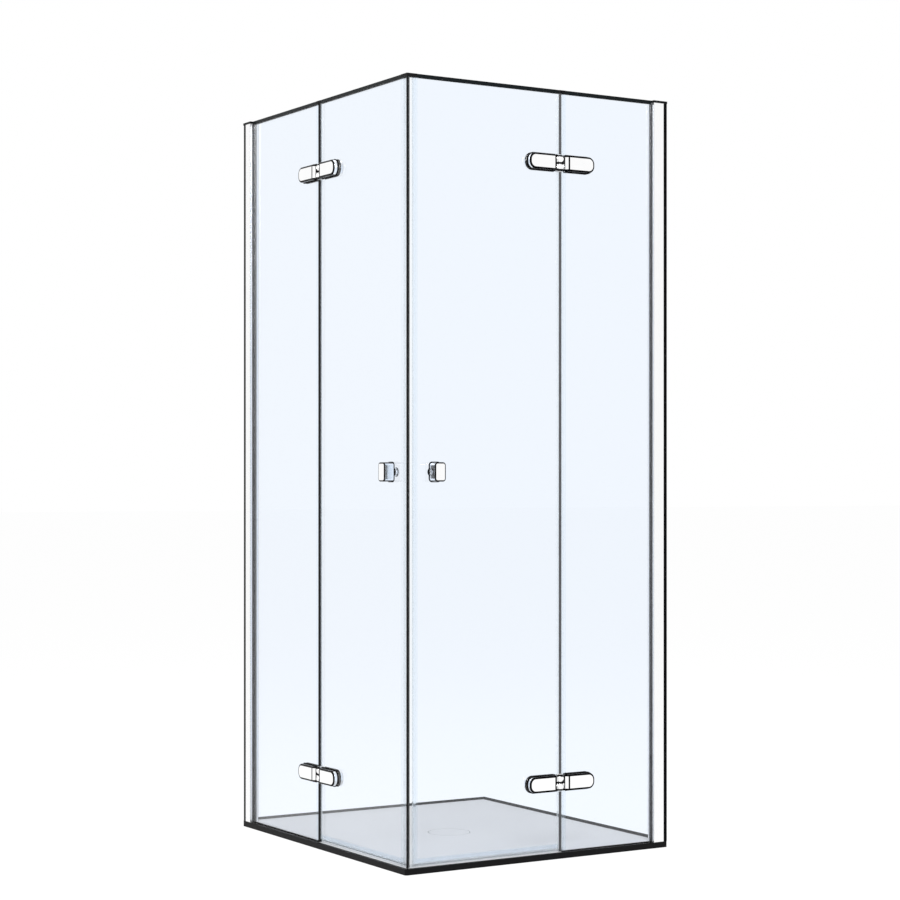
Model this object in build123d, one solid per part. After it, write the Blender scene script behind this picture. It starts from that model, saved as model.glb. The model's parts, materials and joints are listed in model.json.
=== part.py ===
from build123d import *
import os

# Corner shower enclosure: two fixed glass panes and two hinged glass doors that meet at the entry
# corner, on a low tray. Sizes are in millimetres, +Z is up, and the origin is the middle of the
# tray's underside. From the entry corner the left side runs along +Y and the right side along +X.

# Tray
tray_size_x = 800
tray_size_y = 900
tray_height = 15
tray_corner_radius = 6
rim_width = 48
floor_fall = 4
floor_flat = 150
waste_hole_diameter = 90
cover_diameter = 112
cover_gap = 2
cover_thickness = 3.5
cover_foot_height = 2.5
cover_foot_diameter = 7
cover_foot_count = 3

# Glass
enclosure_height = 1950
glass_thickness = 8
glass_inset = 14
door_reach = 450
joint_half_gap = 6
corner_glass_gap = 14
door_bottom_gap = 10
bed_thickness = 2
notch_corner_radius = 8

# Profiles on the walls
profile_width = 44
profile_thickness = 26
profile_wall = 1.6
profile_slide_gap = 0.3
profile_wall_gap = 10
mouth_gap = 3
glass_pocket_depth = 14
glass_edge_gap = 2
wall_web_thickness = 2
wall_hole_diameter = 6
wall_hole_pitches = (1700, 600)
lock_screw_diameter = 4
lock_screw_head_diameter = 7.5
lock_screw_head_height = 2.2
lock_screw_head_chamfer = 1.1
lock_screw_length = 6
lock_screw_heights = (260, 975, 1690)
gasket_depth = 6
gasket_foot = 1.4
gasket_overhang = 0.8
cap_thickness = 6
cap_plug_depth = 12
cap_clearance = 0.2

# Hinges between the panes
upper_hinge_drop = 187
lower_hinge_rise = 178
leaf_length = 100
leaf_height = 41
leaf_end_radius = 18
outer_leaf_thickness = 11
outer_leaf_edge_radius = 3
back_leaf_thickness = 8
back_leaf_chamfer = 1.5
back_leaf_start = 15
pad_thickness = 1
pad_rim = 2
knuckle_radius = 12.5
waist_gap = 4
recess_clearance = 0.6
swing_set_back = 2
core_end = 58
core_height = 30
core_clearance = 1
pin_diameter = 6
pin_half_length = 16
pin_fit = 0.03
press_gap = 0.01
bush_wall = 1
bush_end_gap = 1.5
bush_flange_radius = 8
bush_flange_play = 0.05
clamp_screw_diameter = 6
clamp_screw_head_diameter = 11
clamp_screw_inset = 11
clamp_screw_length = 21
screw_clearance = 0.05
screw_hole_spare = 1
socket_width = 4
socket_depth = 2.4

# Seals, thresholds and wall strips
clip_wall = 1.2
clip_depth = 11
bulb_clearance = 0.5
bulb_wall = 1
seal_end_gap = 1
seal_floor_gap = 1
mitre_gap = 0.4
magnet_width = 9
magnet_thickness = 2
lip_thickness = 1.6
fin_reach = 7
fin_thickness = 1.2
threshold_offset = 14
threshold_width = 8
threshold_height = 5
threshold_chamfer = 2
threshold_overrun = 20
wall_strip_height = 6
wall_strip_foot = 6
wall_strip_crest = 3
wall_strip_end_gap = 1

# Knobs
knob_width = 32
knob_height = 48
knob_depth = 28
knob_corner_radius = 8
knob_edge_radius = 2.5
knob_from_corner = 75
knob_rise = 972
knob_hole_diameter = 10
sleeve_clearance = 0.2
knob_pad_rim = 1.6
washer_diameter = 20
washer_thickness = 1
stud_diameter = 6
stud_outer_reach = 16
stud_inner_reach = 6
inner_knob_diameter = 24
inner_knob_neck_diameter = 15
inner_knob_neck_length = 5
inner_knob_head = 4
inner_knob_chamfer = 1.2

# How far a cut runs past the face that it opens
overcut = 1

# Levels and half sizes that follow from the sizes above
top = tray_height + enclosure_height
profile_top = top - cap_thickness
door_bottom = tray_height + door_bottom_gap
fixed_bottom = tray_height + bed_thickness
hinge_levels = {"lower": tray_height + lower_hinge_rise, "upper": top - upper_hinge_drop}
corner_x = -tray_size_x / 2 + glass_inset
corner_y = -tray_size_y / 2 + glass_inset
wall_distance = {"left": tray_size_y - glass_inset, "right": tray_size_x - glass_inset}
half_glass = glass_thickness / 2
half_clip = half_glass + clip_wall
half_profile = profile_thickness / 2
half_inside = half_profile - profile_wall
half_channel = half_inside - profile_slide_gap
profile_web_start = profile_width - glass_pocket_depth - profile_wall
wall_flange_depth = profile_web_start - profile_wall_gap
half_leaf = leaf_height / 2
leaf_seat = half_glass + pad_thickness
leaf_face = leaf_seat + outer_leaf_thickness
back_face = leaf_seat + back_leaf_thickness
core_back = half_glass + pad_thickness / 2
recess_radius = knuckle_radius + recess_clearance
notch_half_height = half_leaf + core_clearance
pin_radius = pin_diameter / 2
bush_radius = pin_radius + pin_fit + bush_wall
bush_end = pin_half_length + bush_end_gap
core_half_height = core_height / 2
notch_core_half = core_half_height + core_clearance
mitre_step = mitre_gap / 2**0.5


def block(x0, x1, y0, y1, z0, z1):
    """A box between two corners."""
    return Pos(x0, y0, z0) * Box(x1 - x0, y1 - y0, z1 - z0, align=(Align.MIN, Align.MIN, Align.MIN))


def rod(radius, z0, z1):
    """A cylinder up the Z axis."""
    return Pos(0, 0, z0) * Cylinder(radius, z1 - z0, align=(Align.CENTER, Align.CENTER, Align.MIN))


def cross_rod(radius, y0, y1):
    """A cylinder along the Y axis, which is square to the glass."""
    return Pos(0, y0, 0) * Rot(-90, 0, 0) * rod(radius, 0, y1 - y0)


def cross_cone(radius, end_radius, y0, y1):
    cone = Cone(radius, end_radius, y1 - y0, align=(Align.CENTER, Align.CENTER, Align.MIN))
    return Pos(0, y0, 0) * Rot(-90, 0, 0) * cone


def shape(*points):
    return Polygon(*points, align=None)


def strip(x0, x1, y0, y1):
    return shape((x0, y0), (x1, y0), (x1, y1), (x0, y1))


def upright(section, z0, z1):
    """A plan section given its height."""
    return Pos(0, 0, z0) * extrude(section, z1 - z0)


def slab(outline, y0, y1):
    """An outline drawn along the glass and up, given its thickness across the glass."""
    return Pos(0, y1, 0) * extrude(Plane.XZ * outline, y1 - y0)


def run(section, x0, x1):
    """A section drawn across the glass and up, run along the glass."""
    return Pos(x0, 0, 0) * extrude(Plane.YZ * section, x1 - x0)


def both_faces(piece):
    return [piece, mirror(piece, about=Plane.XZ)]


def group(pieces):
    return Compound([solid for piece in pieces for solid in piece.solids()])


def place(side, piece):
    """Puts a piece from its side's own frame into the part's frame.

    A side's frame has its origin at the tray's underside where the two glass planes cross, +X along
    the glass towards the wall and +Y out of the shower. The right side mirrors the left one.
    """
    corner = Pos(corner_x, corner_y, 0)
    if side == "left":
        return corner * Rot(0, 0, 90) * piece
    return corner * mirror(piece, about=Plane.XZ)


# Tray and waste cover


def shower_tray():
    """A low slab with a level rim and a floor that falls to the waste recess."""
    floor_level = tray_height - floor_fall
    rim_opening = Rectangle(tray_size_x - 2 * rim_width, tray_size_y - 2 * rim_width)
    low_square = Rectangle(floor_flat, floor_flat)
    fall = loft([Pos(0, 0, floor_level) * low_square, Pos(0, 0, tray_height) * rim_opening], ruled=True)
    recess_floor = floor_level - cover_thickness - cover_foot_height
    tray = extrude(RectangleRounded(tray_size_x, tray_size_y, tray_corner_radius), tray_height) - fall
    tray -= rod(cover_diameter / 2 + cover_gap, recess_floor, tray_height)
    tray -= rod(waste_hole_diameter / 2, 0, tray_height)
    return tray


def waste_cover():
    """A flush disc on feet that stand round the waste hole, so that water runs in at its edge."""
    disc_level = tray_height - floor_fall - cover_thickness
    cover = rod(cover_diameter / 2, disc_level, disc_level + cover_thickness)
    foot = rod(cover_foot_diameter / 2, disc_level - cover_foot_height, disc_level)
    foot_circle = (waste_hole_diameter + cover_diameter) / 4
    for spot in PolarLocations(foot_circle, cover_foot_count):
        cover += spot * foot
    return cover


# Profiles on the walls, drawn with +X from the wall into the shower opening


def from_wall(side, piece):
    """Turns a piece that is drawn from the wall into its side's frame."""
    return Pos(wall_distance[side], 0, 0) * mirror(piece, about=Plane.YZ)


def wall_profile_section():
    web = strip(0, wall_web_thickness, -half_channel, half_channel)
    flange = strip(0, wall_flange_depth, half_channel - profile_wall, half_channel)
    return web + flange + mirror(flange, about=Plane.XZ)


def adjusting_profile_section():
    """It slides over the wall profile and grips the pane at its mouth."""
    cheek = strip(profile_wall_gap, profile_width, half_inside, half_profile)
    lip = strip(profile_width - profile_wall, profile_width, half_glass + mouth_gap, half_profile)
    jaw = cheek + lip
    web = strip(profile_web_start, profile_web_start + profile_wall, -half_inside, half_inside)
    return jaw + mirror(jaw, about=Plane.XZ) + web


def gasket_section():
    """A foot behind the profile's lip and a neck that fills the mouth beside the glass."""
    lip_back = profile_width - profile_wall
    mouth = half_glass + mouth_gap
    neck = strip(lip_back - gasket_depth, profile_width + gasket_overhang, half_glass, mouth)
    return neck + strip(lip_back - gasket_depth, lip_back, mouth, mouth + gasket_foot)


def wall_hole_levels():
    middle = (tray_height + profile_top) / 2
    return [middle + way * pitch / 2 for pitch in wall_hole_pitches for way in (-1, 1)]


def lock_screw_places():
    """Where screws lock the two profiles together, on the side inside the shower."""
    overlap_middle = (profile_wall_gap + wall_flange_depth) / 2
    return [Pos(overlap_middle, 0, tray_height + height) for height in lock_screw_heights]


def lock_screw_holes(start):
    radius = lock_screw_diameter / 2 + screw_clearance
    return [centre * cross_rod(radius, -start, 0) for centre in lock_screw_places()]


def wall_profile(side):
    profile = upright(wall_profile_section(), tray_height, profile_top)
    hole = Rot(0, 0, -90) * cross_rod(wall_hole_diameter / 2, -overcut, wall_web_thickness + overcut)
    profile -= [Pos(0, 0, level) * hole for level in wall_hole_levels()]
    profile -= lock_screw_holes(half_profile)
    return from_wall(side, profile)


def adjusting_profile(side):
    profile = upright(adjusting_profile_section(), tray_height, profile_top)
    profile -= lock_screw_holes(half_profile + overcut)
    return from_wall(side, profile)


def lock_screws(side):
    head = cross_rod(lock_screw_head_diameter / 2, -half_profile - lock_screw_head_height, -half_profile)
    head = chamfer(head.edges().sort_by(Axis.Y)[0], lock_screw_head_chamfer)
    shank = cross_rod(lock_screw_diameter / 2, -half_profile, lock_screw_length - half_profile)
    return [from_wall(side, centre * (head + shank)) for centre in lock_screw_places()]


def profile_cap(side):
    """A cap over both profiles, slotted for the pane and plugged into the wall profile."""
    cap = block(0, profile_width, -half_profile, half_profile, profile_top, top)
    slot = half_glass + cap_clearance
    cap -= block(profile_width - glass_pocket_depth, profile_width, -slot, slot, profile_top, top)
    plug_start = wall_web_thickness + cap_clearance
    plug_half = half_channel - profile_wall - cap_clearance
    plug_bottom = profile_top - cap_plug_depth
    cap += block(plug_start, wall_flange_depth, -plug_half, plug_half, plug_bottom, profile_top)
    return from_wall(side, cap)


def glazing_gaskets(side):
    gasket = upright(gasket_section(), tray_height, profile_top)
    return [from_wall(side, piece) for piece in both_faces(gasket)]


# Glass


def hinge_cut():
    """The notch that a hinge needs in the fixed pane, with room for its knuckles and its core."""
    knuckle_end = recess_radius + core_clearance
    knuckle_room = strip(0, knuckle_end, -notch_half_height, notch_half_height)
    core_room = round_end(core_end + core_clearance, notch_core_half, notch_corner_radius)
    return slab(knuckle_room + core_room, -glass_thickness, glass_thickness)


def round_end(end, half, radius):
    """A strip from the hinge axis with its two far corners rounded."""
    outline = strip(0, end, -half, half)
    return fillet(outline.vertices().group_by(Axis.X)[-1], radius)


def fixed_pane_end(side):
    return wall_distance[side] - profile_width + glass_pocket_depth - glass_edge_gap


def fixed_glass(side):
    start = door_reach + joint_half_gap
    pane = block(start, fixed_pane_end(side), -half_glass, half_glass, fixed_bottom, top)
    return pane - [hinge_place(level) * hinge_cut() for level in hinge_levels]


def glass_bed(side):
    """The strip that the fixed pane stands on."""
    start = door_reach + joint_half_gap
    return block(start, fixed_pane_end(side), -half_glass, half_glass, tray_height, fixed_bottom)


def door_glass():
    end = door_reach - joint_half_gap
    pane = block(corner_glass_gap, end, -half_glass, half_glass, door_bottom, top)
    pane -= [hinge_place(level) * on_door(hinge_cut()) for level in hinge_levels]
    return pane - knob_place() * cross_rod(knob_hole_diameter / 2, -glass_thickness, glass_thickness)


# Hinges, drawn for the fixed pane: +X towards the wall, +Y out of the shower, and the origin on the
# pin's axis at mid height. The fixed leaf carries the lower knuckle and the door leaf the upper one.


def hinge_place(level):
    return Pos(door_reach, 0, hinge_levels[level])


def on_door(piece):
    return mirror(piece, about=Plane.YZ)


def leaf_outline(start, rim=0):
    """The outline of a leaf, square at the knuckle and rounded at its far end."""
    outline = round_end(leaf_length + rim, half_leaf + rim, leaf_end_radius + rim)
    return outline - strip(-overcut, start, -leaf_height, leaf_height) if start else outline


def clamp_screw_places():
    """The screws stand in line, one at each end of the core."""
    return [Pos(recess_radius + clamp_screw_inset, 0, 0), Pos(core_end - clamp_screw_inset, 0, 0)]


def knuckle():
    """The upper knuckle: a ball, flat at the waist and level with the leaf's edge."""
    low = waist_gap / 2
    ball = Pos(0, 0, (low + half_leaf) / 2) * Sphere(knuckle_radius)
    return ball & rod(2 * knuckle_radius, low, half_leaf)


def outer_leaf():
    """The leaf with the upper knuckle and the core that fills the glass notch."""
    plate = slab(leaf_outline(0), leaf_seat, leaf_face)
    plate = fillet(plate.faces().sort_by(Axis.Y)[-1].edges(), outer_leaf_edge_radius)
    core = round_end(core_end, core_half_height, notch_corner_radius - core_clearance)
    plate += slab(core, -core_back, leaf_seat)
    plate -= upright(swing_cut(), -leaf_height, leaf_height)
    plate -= rod(recess_radius, -leaf_height, waist_gap / 2)
    leaf = plate + knuckle()
    screw_end = clamp_screw_length - back_face
    hole_radius = clamp_screw_diameter / 2 + screw_clearance
    screw_hole = cross_rod(hole_radius, -leaf_length, screw_end + screw_hole_spare)
    return leaf - [spot * screw_hole for spot in clamp_screw_places()]


def swing_cut():
    """What is cut off by the 45 degree face that lets the door stand square to the fixed pane."""
    reach = 2 * leaf_length
    return shape((swing_set_back, 0), (reach, reach - swing_set_back), (-reach, reach), (-reach, 0))


def fixed_leaf():
    """The leaf turned over, so that its knuckle is the lower one, and bored for the pin."""
    leaf = mirror(outer_leaf(), about=Plane.XY)
    return leaf - rod(pin_radius + press_gap, -pin_half_length - press_gap, 0)


def door_leaf():
    return outer_leaf() - rod(bush_radius + press_gap, 0, bush_end + press_gap)


def back_leaf():
    """The plate inside the shower that the clamp screws pull against the glass."""
    plate = slab(leaf_outline(back_leaf_start), -back_face, -leaf_seat)
    plate = chamfer(plate.faces().sort_by(Axis.Y)[0].edges(), back_leaf_chamfer)
    cut = countersunk(screw_clearance, clamp_screw_length)
    return plate - [spot * cut for spot in clamp_screw_places()]


def countersunk(clearance, length):
    """A countersunk screw body that starts flush with the back leaf."""
    radius = clamp_screw_diameter / 2 + clearance
    head_radius = clamp_screw_head_diameter / 2 + clearance
    head_end = head_radius - radius - back_face
    head = cross_cone(head_radius, radius, -back_face, head_end)
    return head + cross_rod(radius, head_end, length - back_face)


def clamp_screws():
    socket = RegularPolygon(socket_width / 2, 6, major_radius=False)
    screw = countersunk(0, clamp_screw_length)
    screw -= slab(socket, -back_face - overcut, socket_depth - back_face)
    return [spot * screw for spot in clamp_screw_places()]


def clamp_pads():
    """The two pads between the glass and the metal, open round the core, with a rim that shows."""
    pad = slab(leaf_outline(back_leaf_start, pad_rim), half_glass, leaf_seat)
    pad -= block(0, core_end + core_clearance, 0, leaf_face, -notch_core_half, notch_core_half)
    return both_faces(pad)


def hinge_pin():
    return rod(pin_radius, -pin_half_length, pin_half_length)


def hinge_bush():
    """A bush for the pin, with the flange that the door's weight rests on at the waist."""
    flange_half = waist_gap / 2 - bush_flange_play
    bush = rod(bush_flange_radius, -flange_half, flange_half) + rod(bush_radius, 0, bush_end)
    return bush - rod(pin_radius + pin_fit, -leaf_height, leaf_height)


# Seals


def hinge_seal():
    """A bulb round the hinge axis, clipped on the fixed pane's edge in stretches between the hinges."""
    clip = strip(joint_half_gap - clip_wall, joint_half_gap + clip_depth, -half_clip, half_clip)
    clip -= strip(joint_half_gap, joint_half_gap + clip_depth, -half_glass, half_glass)
    bulb_radius = joint_half_gap - bulb_clearance
    section = clip + Circle(bulb_radius) - Circle(bulb_radius - bulb_wall)
    stop = notch_half_height + seal_end_gap
    lower = hinge_levels["lower"]
    upper = hinge_levels["upper"]
    stretches = [(fixed_bottom, lower - stop), (lower + stop, upper - stop), (upper + stop, top)]
    return [Pos(door_reach, 0, 0) * upright(section, low, high) for low, high in stretches]


def mitre_point(along, depth):
    """A point on the mitre between the doors, so far along it and so deep behind it."""
    deep = mitre_gap / 2 + depth
    return ((deep + along) / 2**0.5, (deep - along) / 2**0.5)


def magnet_section():
    half = magnet_width / 2
    ends = [(-half, 0), (half, 0), (half, magnet_thickness), (-half, magnet_thickness)]
    return shape(*[mitre_point(*end) for end in ends])


def magnet_carrier():
    """The clear strip on the door's front edge, with the mitre face that meets the other door."""
    clip_end = corner_glass_gap + clip_depth
    section = shape(
        (mitre_step + half_clip, -half_clip),
        (clip_end, -half_clip),
        (clip_end, half_clip),
        (mitre_step - half_clip, half_clip),
    )
    section -= strip(corner_glass_gap, clip_end, -half_glass, half_glass)
    return upright(section - magnet_section(), tray_height + seal_floor_gap, top)


def magnet_strip():
    return upright(magnet_section(), tray_height + seal_floor_gap, top)


def bottom_seal():
    """A clip on the door's lower edge, with a lip over the tray's rim and a fin that sheds water."""
    clip = strip(-half_clip, half_clip, door_bottom - clip_wall, door_bottom + clip_depth)
    clip -= strip(-half_glass, half_glass, door_bottom, door_bottom + clip_depth)
    lip_bottom = tray_height + seal_floor_gap
    clip += strip(-lip_thickness / 2, lip_thickness / 2, lip_bottom, door_bottom)
    fin_root = door_bottom - clip_wall
    clip += shape(
        (-half_clip, fin_root + fin_thickness),
        (-half_clip - fin_reach, fin_root + fin_thickness - fin_reach),
        (-half_clip - fin_reach, fin_root - fin_reach),
        (-half_clip + fin_thickness, fin_root + fin_thickness),
    )
    start = corner_glass_gap + clip_depth + seal_end_gap
    return run(clip, start, door_reach - joint_half_gap)


def threshold_strip():
    """The low strip inside the doors that keeps water on the tray, mitred at the entry corner."""
    inner = -threshold_offset - threshold_width
    crest = tray_height + threshold_height
    shoulder = crest - threshold_chamfer
    section = shape(
        (inner, tray_height),
        (-threshold_offset, tray_height),
        (-threshold_offset, shoulder),
        (-threshold_offset - threshold_chamfer, crest),
        (inner + threshold_chamfer, crest),
        (inner, shoulder),
    )
    bar = run(section, 0, door_reach + threshold_overrun)
    reach = threshold_offset + 2 * threshold_width
    beyond_mitre = shape((mitre_step, 0), (-reach, 0), (-reach, -reach), (mitre_step + reach, -reach))
    return bar - upright(beyond_mitre, 0, 2 * crest)


def wall_strip(side):
    """The low strip that seals the tray to a side's wall, from its profile to the room's corner.

    The left side's strip runs into the corner, and the right side's butts against it.
    """
    wall = wall_distance[side]
    room_end = {"left": wall_distance["right"], "right": wall_distance["left"] - wall_strip_foot}[side]
    crest = tray_height + wall_strip_height
    section = shape(
        (wall - wall_strip_foot, tray_height),
        (wall, tray_height),
        (wall, crest),
        (wall - wall_strip_crest, crest),
    )
    return slab(section, -room_end, -half_profile - wall_strip_end_gap)


# Knobs


def knob_place():
    return Pos(knob_from_corner, 0, tray_height + knob_rise)


def knob_outline(rim=0):
    return RectangleRounded(knob_width + 2 * rim, knob_height + 2 * rim, knob_corner_radius + rim)


def knob_outer():
    seat = half_glass + washer_thickness
    knob = slab(knob_outline(), seat, half_glass + knob_depth)
    knob = fillet(knob.faces().sort_by(Axis.Y)[-1].edges(), knob_edge_radius)
    bore_end = half_glass + stud_outer_reach + screw_hole_spare
    return knob_place() * (knob - cross_rod(stud_diameter / 2 + screw_clearance, seat, bore_end))


def knob_inner():
    """A mushroom-shaped pull for closing the door from inside."""
    seat = -half_glass - washer_thickness
    neck_end = seat - inner_knob_neck_length
    head = cross_rod(inner_knob_diameter / 2, neck_end - inner_knob_head, neck_end)
    head = chamfer(head.edges().filter_by(GeomType.CIRCLE), inner_knob_chamfer)
    knob = head + cross_rod(inner_knob_neck_diameter / 2, neck_end, seat)
    bore_end = -half_glass - stud_inner_reach - press_gap
    return knob_place() * (knob - cross_rod(stud_diameter / 2 + screw_clearance, bore_end, seat))


def knob_stud():
    inner_end = -half_glass - stud_inner_reach
    return knob_place() * cross_rod(stud_diameter / 2, inner_end, half_glass + stud_outer_reach)


def knob_washers():
    """A pad under the outer knob, and a washer inside with a sleeve round the stud in the glass."""
    stud_hole = cross_rod(stud_diameter / 2 + screw_clearance, -leaf_length, leaf_length)
    outer = slab(knob_outline(knob_pad_rim), half_glass, half_glass + washer_thickness)
    inner = cross_rod(washer_diameter / 2, -half_glass - washer_thickness, -half_glass)
    inner += cross_rod(knob_hole_diameter / 2 - sleeve_clearance, -half_glass, half_glass)
    return [knob_place() * (washer - stud_hole) for washer in (outer, inner)]


# Assembly


def at_hinges(make, turn=lambda piece: piece):
    """One copy of a hinge piece, or of each piece of a set, at both hinges of a side."""
    made = make()
    pieces = made if isinstance(made, list) else [made]
    return [hinge_place(level) * turn(piece) for level in hinge_levels for piece in pieces]


def fixed_pieces(side):
    pieces = {
        "wall_profile": wall_profile(side),
        "adjusting_profile": adjusting_profile(side),
        "fixed_glass": fixed_glass(side),
        "glazing_gaskets": group(glazing_gaskets(side)),
        "hinge_seal": group(hinge_seal()),
        "hinge_pins": group(at_hinges(hinge_pin)),
        "hinge_fixed_pads": group(at_hinges(clamp_pads)),
        "hinge_fixed_screws": group(at_hinges(clamp_screws)),
    }
    for level in hinge_levels:
        pieces[f"{level}_hinge_fixed_leaf"] = hinge_place(level) * fixed_leaf()
        pieces[f"{level}_hinge_fixed_backplate"] = hinge_place(level) * back_leaf()
    return pieces


def door_pieces():
    pieces = {
        "door_glass": door_glass(),
        "hinge_bushes": group(at_hinges(hinge_bush)),
        "hinge_door_pads": group(at_hinges(clamp_pads, on_door)),
        "hinge_door_screws": group(at_hinges(clamp_screws, on_door)),
        "magnet_carrier": magnet_carrier(),
        "magnet_strip": magnet_strip(),
        "bottom_seal": bottom_seal(),
        "knob_outer": knob_outer(),
        "knob_inner": knob_inner(),
        "knob_stud": knob_stud(),
        "knob_washers": group(knob_washers()),
    }
    for level in hinge_levels:
        pieces[f"{level}_hinge_door_leaf"] = hinge_place(level) * on_door(door_leaf())
        pieces[f"{level}_hinge_door_backplate"] = hinge_place(level) * on_door(back_leaf())
    return pieces


def both_sides(make):
    """The pieces that a function makes for each side, placed in the part's frame."""
    sets = {side: make(side) for side in wall_distance}
    return [place(side, piece) for side in sets for piece in sets[side]]


def enclosure():
    nodes = {
        "shower_tray": shower_tray(),
        "waste_cover": waste_cover(),
        "profile_caps": group(both_sides(lambda side: [profile_cap(side)])),
        "profile_lock_screws": group(both_sides(lock_screws)),
        "glass_beds": group(both_sides(lambda side: [glass_bed(side)])),
        "threshold_strips": group(both_sides(lambda side: [threshold_strip(), wall_strip(side)])),
    }
    for side in wall_distance:
        for name, piece in {**fixed_pieces(side), **door_pieces()}.items():
            nodes[f"{side}_{name}"] = place(side, piece)
    return nodes


os.makedirs("parts", exist_ok=True)
for name, piece in enclosure().items():
    export_step(piece, f"parts/{name}.step")
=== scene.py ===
import json
import math

import bpy
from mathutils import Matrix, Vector


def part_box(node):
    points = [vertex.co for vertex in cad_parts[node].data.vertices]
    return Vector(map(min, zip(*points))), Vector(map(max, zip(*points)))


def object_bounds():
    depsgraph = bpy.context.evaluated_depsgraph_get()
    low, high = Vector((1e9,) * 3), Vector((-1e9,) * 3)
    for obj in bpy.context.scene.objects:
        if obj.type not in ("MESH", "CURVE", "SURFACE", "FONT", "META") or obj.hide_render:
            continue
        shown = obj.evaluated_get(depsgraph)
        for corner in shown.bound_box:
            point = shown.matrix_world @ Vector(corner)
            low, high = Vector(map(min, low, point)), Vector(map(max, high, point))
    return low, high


# Looks of the corner shower enclosure: a material for every piece, the studio and the camera.
# Lengths are in metres. The left side's glass faces X and the right side's glass faces Y.

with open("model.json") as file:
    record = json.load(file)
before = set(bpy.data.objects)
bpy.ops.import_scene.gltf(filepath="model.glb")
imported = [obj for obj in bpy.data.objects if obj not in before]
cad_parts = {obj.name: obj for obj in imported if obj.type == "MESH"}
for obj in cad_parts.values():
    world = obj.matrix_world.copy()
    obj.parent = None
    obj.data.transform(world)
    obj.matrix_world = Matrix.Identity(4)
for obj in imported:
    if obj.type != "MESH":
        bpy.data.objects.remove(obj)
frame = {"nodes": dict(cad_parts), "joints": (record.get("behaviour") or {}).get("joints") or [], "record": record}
cad_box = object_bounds()
nodes = frame["nodes"]
pin_points = {joint["child"]: joint["pos_m"] for joint in frame["joints"]}
slot_of = {piece["node"]: piece["material_slot"] for piece in frame["record"]["subparts"]}

# Camera, fitted to the drawing
IMAGE_SIZE = 900
SENSOR_WIDTH = 36.0
CAMERA_TURN = math.radians(-31.533)
CAMERA_DISTANCE = 5.8767
CAMERA_HEIGHT = 0.9634
FOCAL_PIXELS = 2162.8
PRINCIPAL_X = 448.9
PRINCIPAL_Y = 481.5
FAR_CLIP = 200.0

# Studio: the floor's size, its glow, the shade it takes and the light it throws back, then the
# world's light on the object and what is seen of it
FLOOR_SIZE = 120.0
FLOOR_GLOW = 0.905
FLOOR_SHADE = 0.16
FLOOR_BOUNCE = 0.8
WORLD_LIGHT = 0.52
WORLD_SEEN = 1.0

# Lamps: place, side length and power. All point at one spot
LAMP_TARGET = (0.0, 0.0, 1.0)
LAMPS = {
    "key_light": ((-1.6, -4.6, 3.6), 2.4, 120.0),
    "fill_light": ((-4.6, -0.6, 2.6), 2.4, 55.0),
    "top_light": ((0.3, 0.3, 4.6), 2.0, 37.0),
}

# Colours as linear values
WHITE = (1.0, 1.0, 1.0)
GLASS_TINT = (0.875, 0.928, 1.0)
THIN_GLASS_TINT = (0.97, 0.985, 1.0)
# Painted shade: the near-black band along the top of the glass
GLASS_TOP_SHADE = (0.002, 0.004, 0.005)
GLASS_GROUND_EDGE = (0.90, 0.93, 0.95)
TRAY_TOP = (0.785, 0.770, 0.765)
# Painted shade: near black, on the tray's sides and in a band along its edge
TRAY_SIDE_SHADE = (0.003, 0.003, 0.0035)
TRAY_SPECKS = (0.40, 0.41, 0.42)
CHROME = (0.985, 0.988, 0.99)
SILVER = (0.985, 0.987, 0.99)
STEEL = (0.60, 0.61, 0.62)
# Painted shade: the black lines along edges, gaps and recesses of the metal pieces
EDGE_SHADE_LINE = (0.003, 0.003, 0.0035)
BLACK_METAL = (0.004, 0.004, 0.0045)
RUBBER = (0.004, 0.004, 0.0045)
GREY_RUBBER = (0.13, 0.13, 0.135)
CLEAR_PVC = (0.80, 0.86, 0.90)
PVC_TINT = (0.975, 0.988, 1.0)
# Painted shade in the hinge joints, black on the left and dark grey on the right
JOINT_SHADE_COLOURS = {"left": RUBBER, "right": (0.09, 0.09, 0.095)}

# Widths and places of the painted shade lines and bands
TOP_SHADE_BAND = 0.009
TRAY_SHADE_BAND = 0.0095
WALL_STRIP_SHADE_BAND = 0.0075
HINGE_SHADE_WIDTHS = {"left": 0.0050, "right": 0.0036}
MITRE_SHADE_WIDTH = 0.0022
# Painted shade along the wall, wider on the left than on the right
PROFILE_WALL_SHADE = {"left": 0.006, "right": 0.002}
PROFILE_EDGE = 0.0014
LEAF_LINE = 0.005
LEAF_END_RADIUS = 0.018
RECESS_START = 0.0180
RECESS_END = 0.0230
KNUCKLE_REACH = 0.0128
KNUCKLE_LINE_END = 0.0155
WAIST_LINE = 0.0026
KNOB_LINE = 0.0035
KNOB_CORNER_RADIUS = 0.008
INNER_EDGE = 0.0012
INNER_GAP = 0.006

# Where a painted shade line fades: how alike the plain and rounded directions are, and how open a gap is
EDGE_FADE = (0.90, 0.985)
GAP_FADE = (0.22, 0.55)
LINE_SAMPLES = 8

# How far a face is turned to an axis: 1 is square to it and 0 is along it
TURNED_OUT = 0.12
MOSTLY_TURNED = 0.5
FULLY_OUT = 0.965
KNOB_END_TURN = 0.6
LEAF_SIDE_TURN = 0.9

# Low gloss, for black pieces and the tray
DULL = 0.12

# Glass: how far its body bends light, its skin, and how much of an end face is ground and covered
GLASS_IOR = 1.02
SKIN_IOR = 1.5
GLASS_WAVES = 0.0003
GROUND_SHARE = 0.75
GROUND_COVER = 0.35
GROUND_ROUGHNESS = (0.30, 0.42)

# Clear seals: how far they bend light and how much of them is not plainly clear
PVC_IOR = 1.53
PVC_ROUGHNESS = (0.08, 0.16)
PVC_COVER = (0.03, 0.06)

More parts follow.
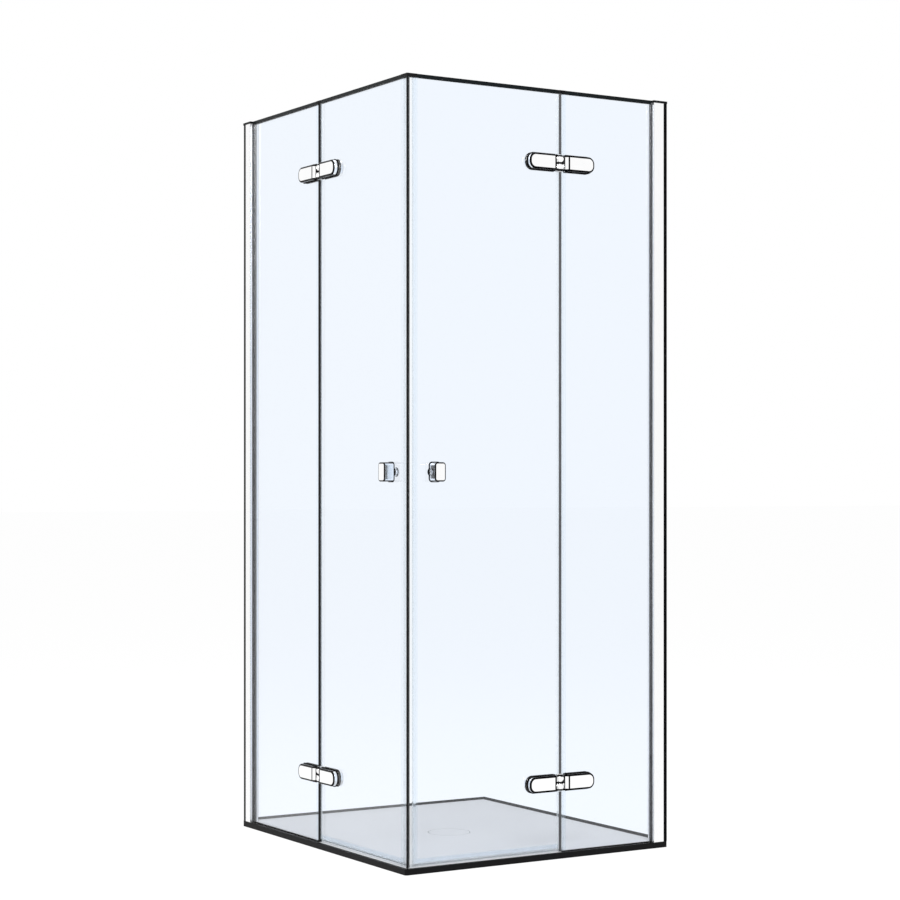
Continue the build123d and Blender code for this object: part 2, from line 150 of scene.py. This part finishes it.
# Metals
CHROME_ROUGHNESS = (0.05, 0.13)
STEEL_ROUGHNESS = (0.18, 0.30)
BLACK_METAL_ROUGHNESS = (0.34, 0.46)
SILVER_ROUGHNESS = (0.22, 0.34)
METAL_GRAIN_DEPTH = 0.00003
EVEN_GRAIN = (1.0, 1.0, 1.0)
LENGTHWISE_GRAIN = (12.0, 12.0, 0.08)
LENGTHWISE_STREAKS = (1.0, 1.0, 0.05)

# Tray
TRAY_ROUGHNESS = (0.46, 0.60)
TRAY_GRAIN_DEPTH = 0.00005
SPECK_LIMIT = 0.66
SPECK_SHARE = 0.12

# Rubber and plastic: roughness, grain scale and grain depth
SOFT_RUBBER = (0.62, 900.0, 0.00004)
FIRM_RUBBER = (0.5, 700.0, 0.00003)
MOULDED_CAP = (0.5, 1200.0, 0.00003)
ACETAL = (0.4, 1500.0, 0.00002)
ROUGHNESS_SWING = 0.06

# The part of a noise's range that is stretched over a whole range of looks
NOISE_RANGE = (0.3, 0.7)
SMUDGE_RANGE = (0.35, 0.65)

# The axis that each side's glass faces, then the axis that it runs along
AXES = {"left": ("X", "Y"), "right": ("Y", "X")}
AXIS_NUMBER = {"X": 0, "Y": 1, "Z": 2}


class Graph:
    """The nodes of a material or world. An input takes a plain value or another node's output."""

    def __init__(self, owner):
        owner.use_nodes = True
        self.owner = owner
        self.tree = owner.node_tree
        self.tree.nodes.clear()

    def feed(self, socket, value):
        if isinstance(value, bpy.types.NodeSocket):
            self.tree.links.new(value, socket)
        elif socket.type == "RGBA":
            socket.default_value = (*value, 1.0)
        else:
            socket.default_value = value

    def add(self, kind, inputs=None, output=0, **settings):
        node = self.tree.nodes.new("ShaderNode" + kind)
        for key, value in settings.items():
            setattr(node, key, value)
        for key, value in (inputs or {}).items():
            self.feed(node.inputs[key], value)
        return node.outputs[output] if node.outputs else node

    def math(self, operation, first, second=0.0):
        return self.add("Math", {0: first, 1: second}, operation=operation)

    def both(self, first, second):
        return self.math("MULTIPLY", first, second)

    def either(self, first, second):
        return self.math("MAXIMUM", first, second)

    def above(self, value, limit):
        return self.math("GREATER_THAN", value, limit)

    def below(self, value, limit):
        return self.math("LESS_THAN", value, limit)

    def between(self, value, low, high):
        return self.both(self.above(value, low), self.below(value, high))

    def size(self, value):
        return self.math("ABSOLUTE", value)

    def offset(self, value, middle):
        return self.size(self.math("SUBTRACT", value, middle))

    def distance(self, first, second):
        squares = self.math("ADD", self.both(first, first), self.both(second, second))
        return self.math("SQRT", squares)

    def mix(self, factor, first, second):
        """A blend of two colours."""
        return self.add("Mix", {0: factor, 6: first, 7: second}, output=2, data_type="RGBA")

    def span(self, value, low, high, start=0.0, end=1.0):
        """A value that runs from start to end, taken to low to high."""
        inputs = {"Value": value, "From Min": start, "From Max": end, "To Min": low, "To Max": high}
        return self.add("MapRange", inputs)

    def spread(self, noise, low=0.0, high=1.0):
        """The middle of a noise's range, taken to low to high."""
        return self.span(noise, low, high, *NOISE_RANGE)

    def spot(self):
        """The point on the piece, in the part's frame at rest, as X, Y and Z."""
        return self.add("SeparateXYZ", {0: self.add("TexCoord", output="Object")}).node.outputs

    def facing(self):
        """The surface's direction in the part's frame at rest, as X, Y and Z."""
        return self.add("SeparateXYZ", {0: self.add("TexCoord", output="Normal")}).node.outputs

    def noise(self, scale, detail, stretch=EVEN_GRAIN, roughness=0.5):
        place = self.add("TexCoord", output="Object")
        moved = self.add("Mapping", {"Vector": place, "Scale": stretch})
        inputs = {"Vector": moved, "Scale": scale, "Detail": detail, "Roughness": roughness}
        return self.add("TexNoise", inputs)

    def bump(self, height, depth):
        return self.add("Bump", {"Height": height, "Distance": depth, "Strength": 1.0})

    def surface(self, **inputs):
        """A Principled shader, with its inputs named with underscores."""
        return self.add("BsdfPrincipled", {key.replace("_", " "): value for key, value in inputs.items()})

    def blend(self, factor, first, second):
        """A blend of two shaders."""
        return self.add("MixShader", {0: factor, 1: first, 2: second})

    def ray(self, kind):
        return self.add("LightPath", output=kind)

    def seen(self):
        """1 for what the camera sees itself, in a mirror or through glass."""
        mirrored = self.either(self.ray("Is Glossy Ray"), self.ray("Is Transmission Ray"))
        return self.either(self.ray("Is Camera Ray"), mirrored)

    def finish(self, surface):
        kind = "OutputWorld" if isinstance(self.owner, bpy.types.World) else "OutputMaterial"
        self.add(kind, {"Surface": surface})
        return self.owner


def material_graph(name):
    return Graph(bpy.data.materials.new(name))


def tinted(colour, share):
    return tuple(min(1.0, share * part) for part in colour)


# Masks: 1 where a painted shade line or band lies, and 0 elsewhere


# Painted shade along edges: 1 where the rounded direction strays from the plain one
def edge_shade(graph, radius):
    plain = graph.add("NewGeometry", output="Normal")
    rounded = graph.add("Bevel", {"Radius": radius}, samples=LINE_SAMPLES)
    alike = graph.add("VectorMath", {0: plain, 1: rounded}, output="Value", operation="DOT_PRODUCT")
    return graph.span(alike, 1.0, 0.0, *EDGE_FADE)


# Painted shade in gaps and recesses: 1 where the ambient occlusion finds little open space
def gap_shade(graph, reach):
    openness = graph.add("AmbientOcclusion", {"Distance": reach}, output="AO", samples=LINE_SAMPLES)
    return graph.span(openness, 1.0, 0.0, *GAP_FADE)


# Painted shade: the band along the top of the whole object
def painted_top_band(graph):
    return graph.above(graph.spot()["Z"], cad_box[1].z - TOP_SHADE_BAND)


def border(graph, across, height, half_width, half_height, radius, width):
    """A band inside a rounded rectangle, from the distances to its two middle lines."""
    past_side = graph.either(graph.math("SUBTRACT", across, half_width - radius), 0.0)
    past_top = graph.either(graph.math("SUBTRACT", height, half_height - radius), 0.0)
    return graph.above(graph.distance(past_side, past_top), radius - width)


def leaf_shade_lines(graph, name, side):
    """Painted shade lines round a leaf's face, on its upper and lower side and round the knuckles and their waist.
    """
    face_axis, run_axis = AXES[side]
    pin = pin_points[f"{side}_door"]
    run = AXIS_NUMBER[run_axis]
    low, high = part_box(name)
    reach = max(abs(low[run] - pin[run]), abs(high[run] - pin[run]))
    middle = (low.z + high.z) / 2
    place = graph.spot()
    along = graph.offset(place[run_axis], pin[run])
    height = graph.offset(place["Z"], middle)
    from_pin = graph.distance(along, graph.offset(place[face_axis], pin[AXIS_NUMBER[face_axis]]))
    on_knuckle = graph.below(from_pin, KNUCKLE_REACH)
    turned_out = graph.above(graph.size(graph.facing()[face_axis]), TURNED_OUT)
    rim = border(graph, along, height, reach, high.z - middle, LEAF_END_RADIUS, LEAF_LINE)
    rim = graph.both(rim, graph.either(turned_out, on_knuckle))
    # Painted shade in the recess round the knuckles
    recess = graph.either(
        graph.between(along, RECESS_START, RECESS_END),
        graph.between(from_pin, KNUCKLE_REACH, KNUCKLE_LINE_END),
    )
    waist = graph.both(graph.below(height, WAIST_LINE), on_knuckle)
    # Painted shade on the leaf's upper and lower faces
    sides = graph.above(graph.size(graph.facing()["Z"]), LEAF_SIDE_TURN)
    sides = graph.both(sides, graph.above(from_pin, KNUCKLE_REACH))
    return graph.either(graph.either(rim, sides), graph.either(recess, waist))


def knob_shade_lines(graph, name, side):
    """Painted shade lines round a knob's face and along its top and bottom."""
    face_axis, run_axis = AXES[side]
    run = AXIS_NUMBER[run_axis]
    low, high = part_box(name)
    half_width = (high[run] - low[run]) / 2
    half_height = (high.z - low.z) / 2
    place = graph.spot()
    along = graph.offset(place[run_axis], (low[run] + high[run]) / 2)
    height = graph.offset(place["Z"], (low.z + high.z) / 2)
    facing = graph.facing()
    outwards = graph.size(facing[face_axis])
    rim = border(graph, along, height, half_width, half_height, KNOB_CORNER_RADIUS, KNOB_LINE)
    rim = graph.both(rim, graph.above(outwards, TURNED_OUT))
    # Painted shade on the knob's top and bottom faces
    ends = graph.above(graph.size(facing["Z"]), KNOB_END_TURN)
    ends = graph.both(ends, graph.below(outwards, MOSTLY_TURNED))
    return graph.either(rim, ends)


def inner_shade_lines(graph, _name, side):
    """Painted shade on the chamfers, edges and gaps of the pieces inside the shower."""
    outwards = graph.size(graph.facing()[AXES[side][0]])
    chamfers = graph.between(outwards, TURNED_OUT, FULLY_OUT)
    edges_and_gaps = graph.either(edge_shade(graph, INNER_EDGE), gap_shade(graph, INNER_GAP))
    return graph.either(chamfers, edges_and_gaps)


def hinge_joint_shade(side):
    """Painted shade in the joint: the outer half of the bulb round a side's hinge axis."""
    face_axis, run_axis = AXES[side]
    pin = pin_points[f"{side}_door"]

    def mask(graph):
        place = graph.spot()
        outside = graph.below(place[face_axis], pin[AXIS_NUMBER[face_axis]])
        from_axis = graph.offset(place[run_axis], pin[AXIS_NUMBER[run_axis]])
        return graph.both(outside, graph.below(from_axis, HINGE_SHADE_WIDTHS[side]))

    return mask


def mitre_joint_shade(graph):
    """Painted shade in the joint along both sides of the mitre between the doors, at 45 degrees from the glass
    planes' corner.
    """
    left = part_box("left_door_glass")
    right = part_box("right_door_glass")
    place = graph.spot()
    from_left = graph.math("SUBTRACT", place["X"], (left[0].x + left[1].x) / 2)
    from_right = graph.math("SUBTRACT", place["Y"], (right[0].y + right[1].y) / 2)
    return graph.below(graph.offset(from_left, from_right), MITRE_SHADE_WIDTH * math.sqrt(2))


def profile_shade_lines(side):
    """Painted shade on the profile's edges and in a band along the wall."""
    run_axis = AXES[side][1]
    wall_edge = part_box(f"{side}_adjusting_profile")[1][AXIS_NUMBER[run_axis]]
    band_start = wall_edge - PROFILE_WALL_SHADE[side]

    def mask(graph):
        edges = edge_shade(graph, PROFILE_EDGE)
        return graph.either(edges, graph.above(graph.spot()[run_axis], band_start))

    return mask


# Materials


def glass(side):
    """Clear toughened glass, pale blue, with pale ground edges and painted shade, a dark band, along its top.

    Its reflections come from its polished skin, and light goes through it nearly straight, as
    through a thin pane, so that what stands behind its ends and seals shows in its own place.
    """
    graph = material_graph(f"clear_glass_{side}")
    edge_faces = graph.below(graph.size(graph.facing()[AXES[side][0]]), MOSTLY_TURNED)
    clear = graph.surface(
        Base_Color=GLASS_TINT,
        Roughness=0.0,
        IOR=GLASS_IOR,
        Transmission_Weight=1.0,
        Coat_Weight=1.0,
        Coat_Roughness=0.0,
        Coat_IOR=SKIN_IOR,
        Coat_Normal=graph.bump(graph.noise(scale=9.0, detail=1.0), GLASS_WAVES),
    )
    grain = graph.noise(scale=900.0, detail=2.0)
    ground = graph.surface(
        Base_Color=graph.mix(grain, tinted(GLASS_GROUND_EDGE, 0.97), GLASS_GROUND_EDGE),
        Roughness=graph.span(grain, *GROUND_ROUGHNESS),
    )
    # Painted shade: the near-black band along the glass's top
    dark = graph.surface(
        Base_Color=graph.mix(grain, GLASS_TOP_SHADE, tinted(GLASS_TOP_SHADE, 1.6)),
        Roughness=graph.span(grain, *GROUND_ROUGHNESS),
        Specular_IOR_Level=DULL,
    )
    thin = graph.add("BsdfTransparent", {"Color": THIN_GLASS_TINT})
    end_face = graph.blend(GROUND_COVER, thin, ground)
    body = graph.blend(graph.both(edge_faces, GROUND_SHARE), clear, end_face)
    solid = graph.blend(painted_top_band(graph), body, dark)
    lit = graph.blend(graph.ray("Is Diffuse Ray"), solid, thin)
    return graph.finish(graph.blend(graph.ray("Is Shadow Ray"), lit, thin))


def chrome(name, side, lines):
    """Polished chrome, bright on its faces, with painted shade, black, along its lines."""
    graph = material_graph(f"{name}_chrome")
    smudges = graph.noise(scale=38.0, detail=4.0)
    tone = graph.mix(graph.span(smudges, 0.0, 1.0, *SMUDGE_RANGE), tinted(CHROME, 0.98), CHROME)
    return graph.finish(
        graph.surface(
            Base_Color=graph.mix(lines(graph, name, side), tone, EDGE_SHADE_LINE),
            Metallic=1.0,
            Roughness=graph.spread(smudges, *CHROME_ROUGHNESS),
        )
    )


def metal(name, colour, stretch, roughness, lines=None):
    """Metal with a fine grain, which is drawn out along one direction or even, and with painted shade, black,
    along its lines where they are given.
    """
    graph = material_graph(name)
    grain = graph.noise(scale=60.0, detail=4.0, stretch=stretch, roughness=0.6)
    tone = graph.mix(grain, tinted(colour, 0.96), colour)
    if lines:
        tone = graph.mix(lines(graph), tone, EDGE_SHADE_LINE)
    return graph.finish(
        graph.surface(
            Base_Color=tone,
            Metallic=1.0,
            Roughness=graph.spread(grain, *roughness),
            Normal=graph.bump(grain, METAL_GRAIN_DEPTH),
        )
    )


def grained(graph, colour, rough, grain_scale, grain_depth):
    """Rubber or matt plastic with a fine grain and a slightly uneven tone."""
    tone = graph.noise(scale=30.0, detail=3.0)
    grain = graph.noise(scale=grain_scale, detail=2.0)
    return graph.surface(
        Base_Color=graph.mix(graph.spread(tone), colour, tinted(colour, 1.35)),
        Roughness=graph.spread(grain, rough - ROUGHNESS_SWING, rough + ROUGHNESS_SWING),
        Specular_IOR_Level=DULL,
        Normal=graph.bump(grain, grain_depth),
    )


def plastic(name, colour, rough, grain_scale, grain_depth):
    graph = material_graph(name)
    return graph.finish(grained(graph, colour, rough, grain_scale, grain_depth))


def seal(name, core=None, joint_shade_colour=RUBBER):
    """Clear PVC, with painted shade, black, in a band along its top and, where it is given, painted shade as a
    dark core in its joint.
    """
    graph = material_graph(name)
    streaks = graph.noise(scale=25.0, detail=2.0, stretch=LENGTHWISE_STREAKS)
    soft = graph.surface(
        Base_Color=CLEAR_PVC,
        Roughness=graph.spread(streaks, *PVC_ROUGHNESS),
        IOR=PVC_IOR,
    )
    open_side = graph.add("BsdfTransparent", {"Color": PVC_TINT})
    body = graph.blend(graph.spread(streaks, *PVC_COVER), open_side, soft)
    if core:
        # Painted shade in the joint, where a core is given
        body = graph.blend(core(graph), body, grained(graph, joint_shade_colour, *FIRM_RUBBER))
    # Painted shade: black along the band at the top
    return graph.finish(graph.blend(painted_top_band(graph), body, grained(graph, RUBBER, *FIRM_RUBBER)))


def tray(name, shade_band):
    """A matt composite with a pale top, and painted shade, near black, on its sides and in a band along its edge.
    """
    graph = material_graph(name)
    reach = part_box("shower_tray")[1]
    place = graph.spot()
    # Painted shade: the band along the tray's edge, on its top and its sides
    across = graph.above(graph.size(place["X"]), reach.x - shade_band)
    along = graph.above(graph.size(place["Y"]), reach.y - shade_band)
    clouds = graph.noise(scale=4.0, detail=4.0)
    specks = graph.above(graph.noise(scale=700.0, detail=2.0), SPECK_LIMIT)
    skin = graph.mix(graph.spread(clouds), tinted(TRAY_TOP, 0.97), TRAY_TOP)
    skin = graph.mix(graph.both(specks, SPECK_SHARE), skin, TRAY_SPECKS)
    grain = graph.noise(scale=1400.0, detail=3.0)
    return graph.finish(
        graph.surface(
            Base_Color=graph.mix(graph.either(across, along), skin, TRAY_SIDE_SHADE),
            Roughness=graph.spread(grain, *TRAY_ROUGHNESS),
            Specular_IOR_Level=DULL,
            Normal=graph.bump(grain, TRAY_GRAIN_DEPTH),
        )
    )


def floor_material():
    """White to the eye, also in mirrors and through glass, with the object's shadow kept."""
    graph = material_graph("studio_floor")
    glow = graph.add("Emission", {"Color": WHITE, "Strength": FLOOR_GLOW})
    shade = graph.add("BsdfDiffuse", {"Color": tinted(WHITE, FLOOR_SHADE)})
    shown = graph.add("AddShader", {0: glow, 1: shade})
    plain = graph.add("BsdfDiffuse", {"Color": tinted(WHITE, FLOOR_BOUNCE)})
    return graph.finish(graph.blend(graph.seen(), plain, shown))


# Which piece gets which material

slot_materials = {
    "tray": tray("tray_composite", TRAY_SHADE_BAND),
    "waste_cover": tray("waste_cover_composite", 0.0),
    "threshold": tray("threshold_plastic", WALL_STRIP_SHADE_BAND),
    "seal": seal("clear_seal"),
    "steel": metal("turned_steel", STEEL, EVEN_GRAIN, STEEL_ROUGHNESS),
    "wall_section": metal("anodised_black", BLACK_METAL, LENGTHWISE_GRAIN, BLACK_METAL_ROUGHNESS),
    "gasket": plastic("black_rubber", RUBBER, *SOFT_RUBBER),
    "magnet": plastic("magnet_rubber", RUBBER, *FIRM_RUBBER),
    "cap": plastic("black_cap", RUBBER, *MOULDED_CAP),
    "bush": plastic("black_acetal", RUBBER, *ACETAL),
}
piece_materials = {"glass_beds": slot_materials["gasket"]}
# The magnet carriers take painted shade along the mitre between the doors
carrier = seal("magnet_carrier", mitre_joint_shade)
grey_gasket = plastic("grey_rubber", GREY_RUBBER, *SOFT_RUBBER)
shade_line_kinds = {
    "_leaf": leaf_shade_lines,
    "_knob_outer": knob_shade_lines,
    "_backplate": inner_shade_lines,
    "_knob_inner": inner_shade_lines,
}
for side in AXES:
    side_glass = glass(side)
    hinge_seal = seal(f"hinge_seal_{side}", hinge_joint_shade(side), JOINT_SHADE_COLOURS[side])
    silver = f"anodised_silver_{side}"
    profile = metal(silver, SILVER, LENGTHWISE_GRAIN, SILVER_ROUGHNESS, profile_shade_lines(side))
    piece_materials[f"{side}_fixed_glass"] = side_glass
    piece_materials[f"{side}_door_glass"] = side_glass
    piece_materials[f"{side}_magnet_carrier"] = carrier
    piece_materials[f"{side}_glazing_gaskets"] = grey_gasket
    piece_materials[f"{side}_hinge_seal"] = hinge_seal
    piece_materials[f"{side}_adjusting_profile"] = profile
    for name in nodes:
        for ending, lines in shade_line_kinds.items():
            if name.startswith(side) and name.endswith(ending):
                piece_materials[name] = chrome(name, side, lines)

for name, piece in nodes.items():
    material = piece_materials.get(name) or slot_materials[slot_of[name]]
    for material_slot in piece.material_slots:
        material_slot.material = material

# Studio


def studio_floor():
    bpy.ops.mesh.primitive_plane_add(size=FLOOR_SIZE)
    plane = bpy.context.object
    plane.name = "studio_floor"
    plane.data.materials.append(floor_material())


def studio_world():
    """White to the eye and a plain soft light on the object."""
    graph = Graph(bpy.data.worlds.new("studio"))
    light = graph.add("Background", {"Color": WHITE, "Strength": WORLD_LIGHT})
    white = graph.add("Background", {"Color": WHITE, "Strength": WORLD_SEEN})
    bpy.context.scene.world = graph.finish(graph.blend(graph.seen(), light, white))


def lamp(name, place, size, power):
    data = bpy.data.lights.new(name, "AREA")
    data.shape = "SQUARE"
    data.size = size
    data.energy = power
    lamp_object = bpy.data.objects.new(name, data)
    lamp_object.location = place
    to_target = Vector(LAMP_TARGET) - Vector(place)
    lamp_object.rotation_euler = to_target.to_track_quat("-Z", "Y").to_euler()
    bpy.context.scene.collection.objects.link(lamp_object)


def camera():
    data = bpy.data.cameras.new("camera")
    data.sensor_width = SENSOR_WIDTH
    data.lens = FOCAL_PIXELS * SENSOR_WIDTH / IMAGE_SIZE
    data.shift_x = (IMAGE_SIZE / 2 - PRINCIPAL_X) / IMAGE_SIZE
    data.shift_y = (PRINCIPAL_Y - IMAGE_SIZE / 2) / IMAGE_SIZE
    data.clip_end = FAR_CLIP
    eye = bpy.data.objects.new("camera", data)
    eye.location = (
        CAMERA_DISTANCE * math.sin(CAMERA_TURN),
        -CAMERA_DISTANCE * math.cos(CAMERA_TURN),
        CAMERA_HEIGHT,
    )
    eye.rotation_euler = (math.pi / 2, 0.0, CAMERA_TURN)
    bpy.context.scene.collection.objects.link(eye)
    bpy.context.scene.camera = eye


studio_floor()
studio_world()
for name, (place, size, power) in LAMPS.items():
    lamp(name, place, size, power)
camera()
bpy.context.scene.view_settings.view_transform = "Standard"
